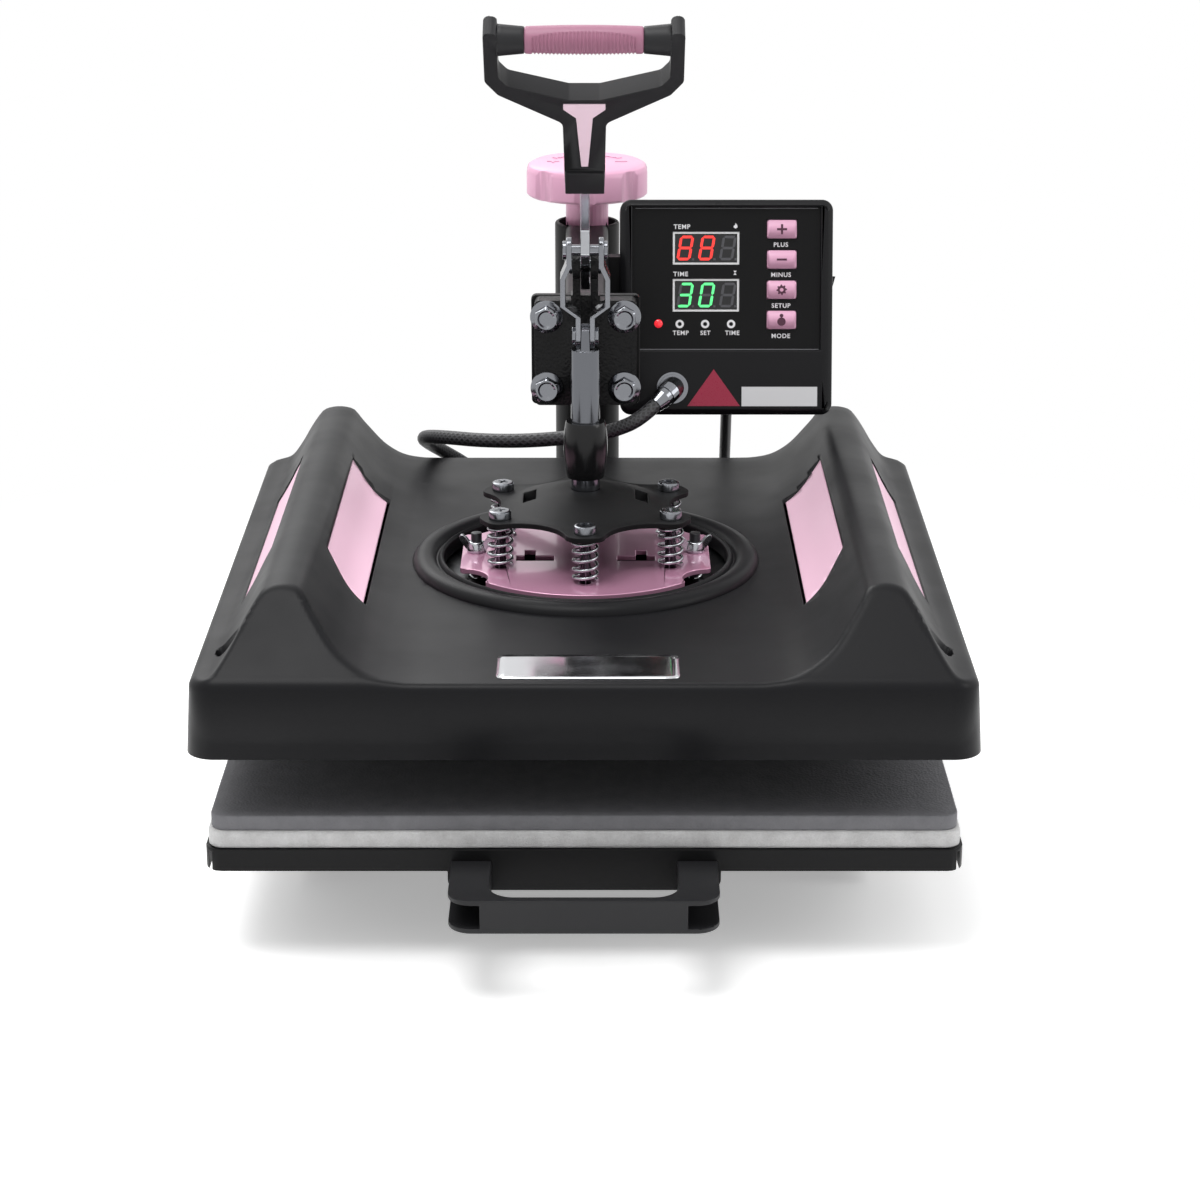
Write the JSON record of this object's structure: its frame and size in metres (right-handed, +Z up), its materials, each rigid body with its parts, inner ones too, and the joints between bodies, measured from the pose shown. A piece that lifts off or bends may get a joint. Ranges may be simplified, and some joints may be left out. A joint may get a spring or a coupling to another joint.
{
  "type": "heat press",
  "caption": "Swing-away heat press with a drawer, a post-mounted arm, a toggle lever, a sprung heating head and a control box.",
  "frame": {"origin": "on the table plane, below the middle of the machine without its free cord", "axes": "+X to the right of someone at the drawer, +Y back towards the post, +Z up"},
  "size_m": [0.4, 0.6511, 0.4661],
  "materials": {
    "frame_paint": "textured black powder coat",
    "black_casting": "black coated casting",
    "plain_steel": "plain machined steel",
    "post_steel": "blackened ground steel tube",
    "bright_zinc": "bright plated steel",
    "pink_paint": "pink powder coat",
    "pink_plastic": "moulded pink plastic",
    "black_plastic": "fine moulded black plastic",
    "panel_film": "black front film",
    "display_parts": "white moulded frame",
    "circuit_board": "green circuit board",
    "black_rubber": "moulded rubber",
    "felt": "pressed felt",
    "silicone": "black silicone foam",
    "bronze": "sintered bronze",
    "platen_aluminium": "dark non-stick coating",
    "insulation": "ceramic fibre board",
    "braid": "braided black sleeve",
    "cord_jacket": "smooth black jacket"
  },
  "bodies": {
    "base": {"base_frame": "frame_paint", "column_post": "post_steel", "rubber_feet": "black_rubber", "drawer_channels": "frame_paint", "mains_cord": "cord_jacket", "mains_coil": "cord_jacket", "mains_plug": "black_rubber", "cord_tie": "black_rubber"},
    "drawer": {"drawer_runners": "plain_steel", "drawer_tray": "frame_paint", "felt_layer": "felt", "silicone_pad": "silicone", "drawer_handle": "black_plastic"},
    "swivel": {"swivel_liner": "bronze"},
    "arm": {"column_sleeve": "frame_paint", "thrust_plug": "frame_paint", "arm_beam": "frame_paint", "arm_end_plate": "frame_paint", "toggle_base": "black_casting", "clamp_bolts": "bright_zinc", "lever_pin": "bright_zinc", "box_bracket": "frame_paint", "box_rear_shell": "black_plastic", "box_front_shell": "black_plastic", "control_panel": "panel_film", "display_modules": "display_parts", "control_board": "circuit_board", "panel_socket": "bright_zinc", "cable_plug": "bright_zinc", "mains_gland": "black_rubber", "platen_cable": "braid"},
    "knob": {"pressure_knob": "pink_plastic", "pressure_screw": "bright_zinc"},
    "lever": {"lever_bar": "black_casting", "handle_frame": "black_plastic", "handle_inlay": "pink_plastic", "grip_barrel": "pink_plastic"},
    "links": {"toggle_links": "bright_zinc", "upper_link_pin": "bright_zinc"},
    "plunger": {"plunger_rod": "bright_zinc", "lower_link_pin": "bright_zinc", "spider_plate": "black_casting", "pressure_springs": "bright_zinc"},
    "platen": {"platen_cover": "black_plastic", "grip_inserts": "pink_plastic", "floor_plate": "plain_steel", "spring_plate": "pink_paint", "wing_nuts": "bright_zinc", "floor_screws": "bright_zinc", "heating_platen": "platen_aluminium", "heating_element": "plain_steel", "insulation_board": "insulation", "temperature_probe": "plain_steel", "cable_boot": "black_rubber", "spring_screws": "bright_zinc"},
    "rocker": {"rocker_switch": "black_plastic"},
    "plus_key": {"plus_button": "pink_plastic"},
    "minus_key": {"minus_button": "pink_plastic"},
    "setup_key": {"setup_button": "pink_plastic"},
    "mode_key": {"mode_button": "pink_plastic"}
  },
  "joints": [
    {"name": "drawer_slide", "type": "slide", "parent": "base", "child": "drawer", "axis": [0, -1, 0], "range_m": [0, 0.18]},
    {"name": "arm_swing", "type": "hinge", "parent": "base", "child": "swivel", "pos_m": [0, 0.22, 0.19], "axis": [0, 0, 1], "range_deg": [-90, 90], "deforming": ["mains_cord"]},
    {"name": "height_slide", "type": "slide", "parent": "swivel", "child": "arm", "axis": [0, 0, 1], "range_m": [0, 0.01]},
    {"name": "knob_turn", "type": "hinge", "parent": "arm", "child": "knob", "pos_m": [0, 0.22, 0.31], "axis": [0, 0, 1], "range_deg": [0, 1440]},
    {"name": "plunger_slide", "type": "slide", "parent": "arm", "child": "plunger", "axis": [0, 0, -1], "range_m": [0, 0.0339], "deforming": ["platen_cable"]},
    {"name": "lever_hinge", "type": "hinge", "parent": "arm", "child": "lever", "pos_m": [0, -0.005, 0.319], "axis": [1, 0, 0], "range_deg": [0, 110]},
    {"name": "link_hinge", "type": "hinge", "parent": "plunger", "child": "links", "pos_m": [0, -0.02, 0.28266], "axis": [1, 0, 0], "range_deg": [-17.95, 0]},
    {"name": "platen_float", "type": "slide", "parent": "plunger", "child": "platen", "axis": [0, 0, 1], "range_m": [0, 0.006], "stiffness_N_per_m": 24000, "springref_m": -0.004, "deforming": ["pressure_springs"]},
    {"name": "rocker_turn", "type": "hinge", "parent": "arm", "child": "rocker", "pos_m": [0.1434, 0.14751, 0.26922], "axis": [0, 0.9744, -0.225], "range_deg": [-12, 0]},
    {"name": "plus_press", "type": "slide", "parent": "arm", "child": "plus_key", "axis": [0, 0.9744, -0.225], "range_m": [0, 0.001], "stiffness_N_per_m": 400, "springref_m": -0.0004},
    {"name": "minus_press", "type": "slide", "parent": "arm", "child": "minus_key", "axis": [0, 0.9744, -0.225], "range_m": [0, 0.001], "stiffness_N_per_m": 400, "springref_m": -0.0004},
    {"name": "setup_press", "type": "slide", "parent": "arm", "child": "setup_key", "axis": [0, 0.9744, -0.225], "range_m": [0, 0.001], "stiffness_N_per_m": 400, "springref_m": -0.0004},
    {"name": "mode_press", "type": "slide", "parent": "arm", "child": "mode_key", "axis": [0, 0.9744, -0.225], "range_m": [0, 0.001], "stiffness_N_per_m": 400, "springref_m": -0.0004}
  ],
  "couplings": [
    {"joint": "knob_turn", "follows": "height_slide", "rad_per_m": 2513.2},
    {"joint": "lever_hinge", "follows": "plunger_slide", "rad_per_m": 56.51},
    {"joint": "link_hinge", "follows": "plunger_slide", "rad_per_m": -9.2134}
  ]
}
